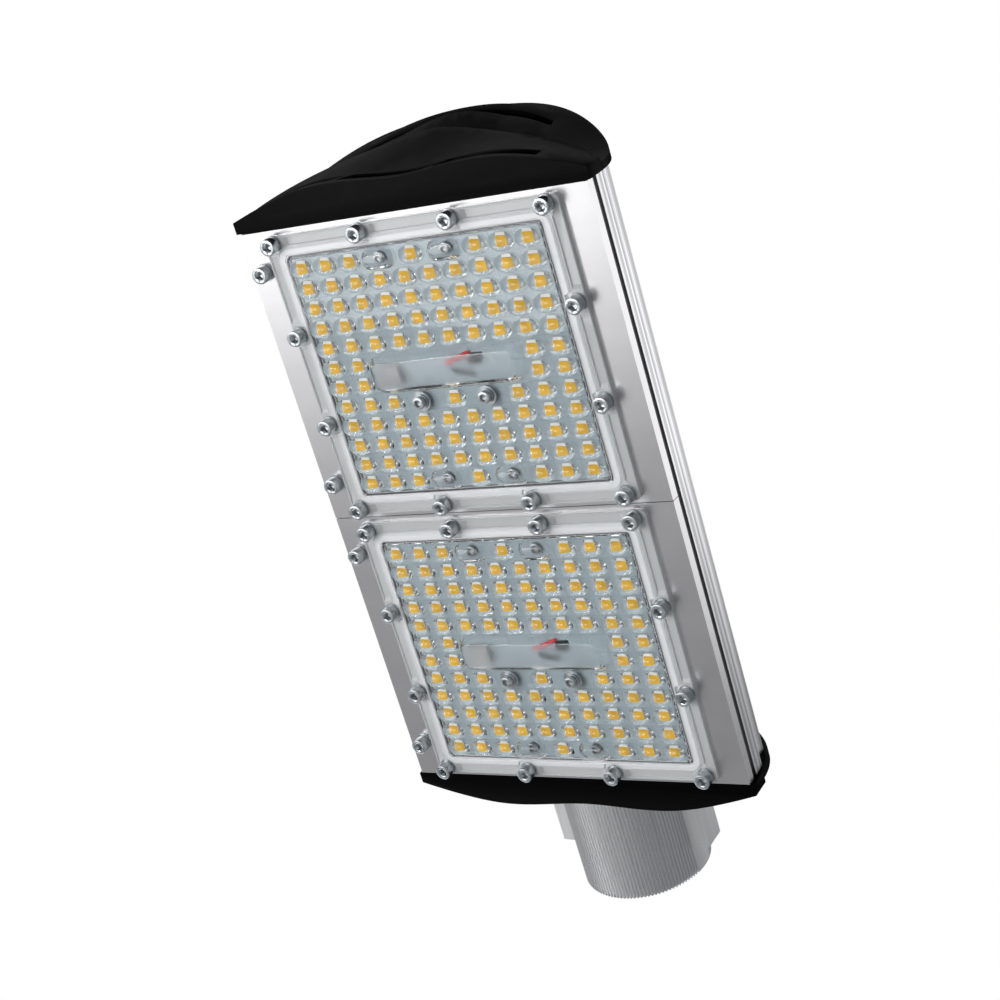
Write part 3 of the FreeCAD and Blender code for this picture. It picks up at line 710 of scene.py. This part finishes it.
def dome():
    """One dome: the cap of an egg shape about the diode, so that its image fills the dome."""
    foot, crown = ROOF - DOME_CENTRE, ROOF + DOME_HEIGHT - DOME_CENTRE
    start = math.asin(foot / crown)
    loops = []
    for step in range(DOME_RINGS):
        rise = start + (math.pi / 2 - start) * step / DOME_RINGS
        share = math.cos(rise) / math.cos(start)
        loops.append((superellipse(DOME_HALF_X * share, DOME_HALF_Y * share), crown * math.sin(rise) - foot))
    vertices, faces = skin(loops, close_first=False, close_last=False)
    top = len(vertices)
    vertices.append((0, 0, -DOME_HEIGHT))
    last = top - DOME_COUNT
    faces += [(last + i, last + (i + 1) % DOME_COUNT, top) for i in range(DOME_COUNT)]
    return solid("dome", [(vertices, faces)])


def beyond(nodes, links, value, middle, reach):
    """1 where a coordinate lies further than the reach (mm) from the middle (m), else 0."""
    distance = maths(nodes, links, "ABSOLUTE", maths(nodes, links, "SUBTRACT", value, middle))
    return maths(nodes, links, "GREATER_THAN", distance, reach * MM)


def pass_shadows(material):
    """Lets the light through the material to what is behind it, with a slight loss."""
    nodes, links = material.node_tree.nodes, material.node_tree.links
    path = nodes.new("ShaderNodeLightPath")
    clear = nodes.new("ShaderNodeBsdfTransparent")
    mix = nodes.new("ShaderNodeMixShader")
    clear.inputs["Color"].default_value = (*SHADOW_TONE, 1)
    links.new(path.outputs["Is Shadow Ray"], mix.inputs[0])
    links.new(nodes["Principled BSDF"].outputs[0], mix.inputs[1])
    links.new(clear.outputs[0], mix.inputs[2])
    links.new(mix.outputs[0], nodes["Material Output"].inputs["Surface"])


def finish_clear():
    """Clear moulded plastic, frosted on top of the covers and milky in the rim and flange."""
    material, shader, nodes, links = shader_parts("clear_moulding")
    shader.inputs["Base Color"].default_value = (*CLEAR_TONE, 1)
    shader.inputs["IOR"].default_value = CLEAR_INDEX
    place = nodes.new("ShaderNodeTexCoord")
    parts = nodes.new("ShaderNodeSeparateXYZ")
    links.new(place.outputs["Object"], parts.inputs[0])
    front, rear = module_middle("front"), module_middle("rear")
    half_apart = (rear - front) / 2
    along = maths(nodes, links, "SUBTRACT", parts.outputs["Y"], (front + rear) / 2)
    along = maths(nodes, links, "ABSOLUTE", along)
    milky_sides = beyond(nodes, links, parts.outputs["X"], 0.0, MILKY_X)
    milky_ends = beyond(nodes, links, along, half_apart, MILKY_Y)
    milky = maths(nodes, links, "MAXIMUM", milky_sides, milky_ends)
    links.new(mapped(nodes, links, milky, 1.0, CLEAR_RIM), shader.inputs["Transmission Weight"])
    at_small_covers = beyond(nodes, links, along, half_apart, SMALL_COVERS_FROM)
    strength = mapped(nodes, links, at_small_covers, LONG_COVER_FROST, SMALL_COVER_FROST)
    frost = nodes.new("ShaderNodeMapRange")
    frost.inputs["From Min"].default_value = LIGHT_FACE - FROST_FULL * MM
    frost.inputs["From Max"].default_value = LIGHT_FACE - FROST_NONE * MM
    frost.inputs["To Max"].default_value = CLEAR_ROUGH
    links.new(parts.outputs["Z"], frost.inputs["Value"])
    links.new(strength, frost.inputs["To Min"])
    links.new(frost.outputs[0], shader.inputs["Roughness"])
    pass_shadows(material)
    return material


CLEAR = finish_clear()
for side in MODULES:
    carrier = lens_carrier()
    carrier.data.transform(Matrix.Translation((0, module_middle(side), LIGHT_FACE)))
    plate = set_in_place("lens_moulding_" + side, dome(), on_module(side, led_places(), ROOF), CLEAR,
                         carrier=carrier, sharp=MOULDING_SHARP, weld=MOULDING_WELD)
    fit(plate, "clear_lens", "lens_plate_" + side)

# Gaskets: a white silicone ring in the groove under the rim of each lens plate, pressed on
# the metal plate by the lens screws.
SILICONE = finish_plastic("silicone", (0.88, 0.87, 0.88), (0.5, 0.65))
for side in MODULES:
    coat("lens_gasket_" + side, SILICONE)

# Lens screws: steel cap screws with a hexagon socket, each on a spring washer and a flat
# washer. Twelve hold each lens plate to its module plate and clamp the gasket.
SCREW_STEEL = finish_metal("screw_steel", (0.42, 0.45, 0.47), (0.64, 0.67, 0.69), (0.22, 0.38),
                           lines=(500, 500, 500), bump=0.25)
ROUND_COUNT = 24
FINE_EDGE, HEAD_FOOT, HEAD_EDGE = 0.12, 0.25, 0.4
SHANK_SHARE = 0.72
SOCKET_MOUTH, SOCKET_EDGE, SOCKET_WALL, SOCKET_END, SOCKET_TIP = 1.25, 0.25, 0.8, 0.95, 0.2
FULL_TURN = 6.28


def circle(radius, count=ROUND_COUNT, shift=0.0):
    """Points of a circle, shifted on by a share of the step from one to the next."""
    turns = [2 * math.pi * (i + shift) / count for i in range(count)]
    return [(radius * math.cos(turn), radius * math.sin(turn)) for turn in turns]


def hexagon(half_flat):
    """A hexagon with as many points as the circles have, so that the two can be joined."""
    points = []
    for index in range(ROUND_COUNT):
        angle = 2 * math.pi * index / ROUND_COUNT
        radius = half_flat / math.cos((angle + math.pi / 6) % (math.pi / 3) - math.pi / 6)
        points.append((radius * math.cos(angle), radius * math.sin(angle)))
    return points


def cap_screw(head, head_high, washers, socket):
    """A cap screw from its seat up. Head and socket are radii, washers are (radius, thickness)."""
    loops, depth = [], 0.0
    shank = circle(head * SHANK_SHARE)
    for radius, thick in washers:
        top = depth + thick
        loops += [
            (circle(radius), depth),
            (circle(radius), top - FINE_EDGE),
            (circle(radius - FINE_EDGE), top),
            (shank, top),
            (shank, top + FINE_EDGE),
        ]
        depth = top + FINE_EDGE
    top = depth + head_high
    loops += [
        (circle(head - HEAD_FOOT), depth),
        (circle(head), depth + HEAD_FOOT),
        (circle(head), top - HEAD_EDGE),
        (circle(head - FINE_EDGE), top - FINE_EDGE),
        (circle(head - HEAD_EDGE), top),
        (circle(socket * SOCKET_MOUTH), top),
        (hexagon(socket), top - SOCKET_EDGE),
        (hexagon(socket), top - head_high * SOCKET_WALL),
        (circle(socket * SOCKET_TIP), top - head_high * SOCKET_END),
    ]
    return solid("screw", [skin(loops)])


for side in MODULES:
    screw = cap_screw(head=3.5, head_high=3.9, washers=((3.85, 0.55), (3.3, 0.75)), socket=1.7)
    places = on_module(side, LENS_SCREWS, FLANGE)
    piece = set_in_place("lens_cap_screws_" + side, screw, places, SCREW_STEEL, FULL_TURN)
    fit(piece, "screw_steel", "lens_screws_" + side)

# Centre screws and board screws: two cap screws clamp the middle of each lens plate, and
# four small ones, seen dimly in the small covers, hold the board to the metal.
CENTRE_SCREW_X, CENTRE_SCREW_Y = 15.8, 12.8
CENTRE_SCREWS = [(x, CENTRE_SCREW_Y) for x in (-CENTRE_SCREW_X, CENTRE_SCREW_X)]
BOARD_SCREW = finish_metal("board_screw", (0.30, 0.31, 0.32), (0.46, 0.47, 0.48), (0.25, 0.4),
                           lines=(500, 500, 500), bump=0.2)
for side in MODULES:
    screw = cap_screw(head=2.7, head_high=1.9, washers=((4.3, 0.6), (3.4, 0.7)), socket=1.35)
    places = on_module(side, CENTRE_SCREWS, ROOF)
    piece = set_in_place("centre_cap_screws_" + side, screw, places, SCREW_STEEL, FULL_TURN)
    fit(piece, "screw_steel", "centre_screws_" + side)
    screw = cap_screw(head=2.2, head_high=1.6, washers=((2.3, 0.4),), socket=1.0)
    places = on_module(side, SMALL_COVERS, BOARD_THICK)
    piece = set_in_place("board_screws_" + side, screw, places, BOARD_SCREW, FULL_TURN)
    fit(piece, "screw_steel")

# Plate screws: four cap screws on the left edge hold the module plates to the heat sink.
PLATE_SCREW_X, PLATE_SCREW_Y = -75.5, 48.2
PLATE_SCREWS = [(PLATE_SCREW_X, y) for y in (-PLATE_SCREW_Y, PLATE_SCREW_Y)]
screw = cap_screw(head=3.5, head_high=3.9, washers=((3.85, 0.5), (3.3, 0.75)), socket=1.7)
places = [place for side in MODULES for place in on_module(side, PLATE_SCREWS, 0.0)]
fit(set_in_place("plate_cap_screws", screw, places, SCREW_STEEL, FULL_TURN), "screw_steel", "plate_screws")

# Terminal blocks: a pale nylon block on each board, under the long cover. A red and a black
# lead run from it to the slot through which they leave for the driver.
TERMINAL_NYLON = finish_plastic("terminal_nylon", (0.34, 0.33, 0.33), (0.4, 0.6))
LEAD_RADIUS, LEAD_STEPS, LEAD_ORDER = 0.75, 4, 3
LEAD_TONES = {"red": (0.72, 0.03, 0.035), "black": (0.025, 0.025, 0.028)}
LEAD_ROUTES = {
    "red": ((0.0, -1.0, 1.4), (0.0, -1.3, 1.2), (1.5, -1.8, 2.9),
            (6.0, -3.4, 3.3), (10.0, -4.6, 2.9), (12.0, -4.9, 1.7)),
    "black": ((2.0, 1.0, 1.4), (2.0, 1.2, 1.2), (3.0, 1.7, 2.6),
              (6.5, 2.8, 2.9), (10.0, 3.6, 2.5), (12.0, 3.8, 1.7)),
}


def lead(name, route, side, material):
    """A round lead along a smooth route in a module's own frame, as a closed mesh."""
    curve = bpy.data.curves.new(name, "CURVE")
    curve.dimensions = "3D"
    curve.bevel_depth = LEAD_RADIUS * MM
    curve.bevel_resolution = LEAD_STEPS
    curve.use_fill_caps = True
    line = curve.splines.new("NURBS")
    line.points.add(len(route) - 1)
    for point, (x, y, depth) in zip(line.points, route):
        place = on_module(side, [(x, y)], depth)[0]
        point.co = (*(Vector(place) * MM), 1)
    line.order_u = LEAD_ORDER
    line.use_endpoint_u = True
    helper = linked(name, curve)
    mesh = evaluated_mesh(helper)
    bpy.data.objects.remove(helper)
    mesh.materials.clear()
    mesh.materials.append(material)
    mesh.shade_smooth()
    return linked(name, mesh)


LEAD_COVERS = {}
for colour, tone in LEAD_TONES.items():
    LEAD_COVERS[colour] = finish_plastic(colour + "_lead", tone, (0.35, 0.5))
for side in MODULES:
    coat("terminal_block_" + side, TERMINAL_NYLON)
    for colour, route in LEAD_ROUTES.items():
        fit(lead(colour + "_lead_" + side, route, side, LEAD_COVERS[colour]), "terminal_plastic")

# Driver: a closed metal case in the channel, lacquered grey, held by its two ears.
DRIVER_GREY = finish_plastic("driver_lacquer", (0.33, 0.34, 0.35), (0.35, 0.5), spread=0.05)
coat("led_driver", DRIVER_GREY)

# End plates and their rubber gaskets: cut plates that close the heat sink at both ends.
# The rear one is screwed to the lugs of the socket tube and carries the lamp.
END_METAL = finish_metal("end_metal", (0.46, 0.46, 0.47), (0.54, 0.54, 0.55), (0.35, 0.5), lines=(80, 80, 80))
RUBBER = finish_plastic("rubber", (0.022, 0.022, 0.023), (0.6, 0.75), bump=0.4)
for side in MODULES:
    coat("end_plate_" + side, END_METAL)
    coat("end_gasket_" + side, RUBBER)

# Socket tube: drawn aluminium with fine ribs all round and a lug on each side for the screws
# of the rear end plate. It slides over the end of the pole, and two bolts through its top
# clamp it.
TUBE_METAL = finish_metal("tube_metal", (0.76, 0.76, 0.77), (0.84, 0.84, 0.85), (0.38, 0.5),
                          lines=(700, 10, 700))
TUBE_LOW, TUBE_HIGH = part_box("socket_tube")
TUBE_START, TUBE_RADIUS, LUG_REACH = TUBE_LOW.y * METRE, TUBE_HIGH.z * METRE, TUBE_HIGH.x * METRE
BORE_RADIUS, RELIEF_RADIUS, RELIEF_END = 25.5, 26.1, -55.0
LUG_END, LUG_HALF = -14.0, 6.5
RIBS, RIB_DEPTH, RIB_POINTS = 110, 0.9, 4
MOUTH_EDGE, MOUTH_SHARE = 0.3, 0.992
FLAT_TURN, EASED_FROM = 0.4, 30.0
BOLT_EDGE = 0.4


def tube_outline(with_lugs):
    """The tube's ribbed outline, with or without its two lugs."""
    points = []
    count = RIB_POINTS * RIBS
    for index in range(count):
        angle = 2 * math.pi * (index + 0.5) / count
        in_groove = index % RIB_POINTS >= RIB_POINTS // 2
        clear_of_lugs = abs(math.sin(angle)) * TUBE_RADIUS > LUG_HALF
        radius = TUBE_RADIUS - (RIB_DEPTH if in_groove and clear_of_lugs else 0.0)
        x, z = radius * math.cos(angle), radius * math.sin(angle)
        if with_lugs and abs(z) < LUG_HALF:
            x = math.copysign(LUG_REACH, x)
        points.append((x, z))
    return points


def socket_tube():
    """The tube from its lugs to its mouth and back through the bore and its wider relief."""
    lugs, plain = tube_outline(with_lugs=True), tube_outline(with_lugs=False)
    mouth = [(x * MOUTH_SHARE, z * MOUTH_SHARE) for x, z in plain]
    wide_bore, bore, relief = (circle(radius, count=len(plain), shift=0.5)
                               for radius in (BORE_RADIUS + MOUTH_EDGE, BORE_RADIUS, RELIEF_RADIUS))
    loops = [
        (lugs, TUBE_START),
        (lugs, LUG_END),
        (plain, LUG_END),
        (plain, -MOUTH_EDGE),
        (mouth, 0.0),
        (wide_bore, 0.0),
        (bore, -MOUTH_EDGE),
        (bore, RELIEF_END),
        (relief, RELIEF_END),
        (relief, TUBE_START),
        (lugs, TUBE_START),
    ]
    piece = solid("ribbed_socket", [skin(loops, close_first=False, close_last=False)])
    depth_to_y = Matrix(((1, 0, 0, 0), (0, 0, -1, 0), (0, 1, 0, 0), (0, 0, 0, 1)))
    piece.data.transform(depth_to_y)
    piece.data.materials.append(TUBE_METAL)
    return piece


def eased(name, material, node, width):
    """A copy of a solid piece with welded corners and its sharp edges broken by a small round."""
    form = bmesh.new()
    form.from_mesh(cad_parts[node].data)
    bmesh.ops.remove_doubles(form, verts=form.verts, dist=CORNER_WELD)
    bmesh.ops.dissolve_limit(form, angle_limit=math.radians(FLAT_TURN), verts=form.verts, edges=form.edges)
    least = math.radians(EASED_FROM)
    sharp = [edge for edge in form.edges if edge.is_manifold and edge.calc_face_angle() > least]
    bmesh.ops.bevel(form, geom=sharp, offset=width * MM, offset_type="OFFSET", segments=2, profile=0.5,
                    affect="EDGES", clamp_overlap=True)
    mesh = bpy.data.meshes.new(name)
    form.to_mesh(mesh)
    form.free()
    smooth(mesh, EASED_FROM)
    mesh.materials.append(material)
    return linked(name, mesh)


fit(socket_tube(), "tube_aluminium", "socket_tube")
fit(eased("lug_bolts", SCREW_STEEL, "clamp_bolts", BOLT_EDGE), "screw_steel", "clamp_bolts")

# Cable gland: a black nylon gland with its lock nut, where the supply cable enters.
NYLON = finish_plastic("black_nylon", (0.02, 0.02, 0.021), (0.4, 0.55))
coat("cable_gland", NYLON)
coat("gland_nut", NYLON)

# End caps: black moulded louvred covers over both ends, deep black with a weak gloss on a
# fine leather grain. They hide the end plates.
CAP_TONE, SOOT_TONE = (0.0015, 0.0015, 0.0018), (0.0014, 0.0014, 0.0016)
GLOSS_SHARE = 0.07
CAP_EDGE = 0.5


def finish_cap():
    """A dull deep black, mixed with a small share of grained glossy plastic."""
    material = finish_plastic("cap_black", CAP_TONE, (0.25, 0.4), speck=1500.0, bump=0.25)
    nodes, links = material.node_tree.nodes, material.node_tree.links
    soot = nodes.new("ShaderNodeBsdfDiffuse")
    soot.inputs["Color"].default_value = (*SOOT_TONE, 1)
    share = nodes.new("ShaderNodeMixShader")
    share.inputs[0].default_value = GLOSS_SHARE
    links.new(soot.outputs[0], share.inputs[1])
    links.new(nodes["Principled BSDF"].outputs[0], share.inputs[2])
    links.new(share.outputs[0], nodes["Material Output"].inputs["Surface"])
    return material


CAP_BLACK = finish_cap()
for side in MODULES:
    fit(eased(side + "_end_cap", CAP_BLACK, side + "_cap", CAP_EDGE), "cap_black", side + "_cap")
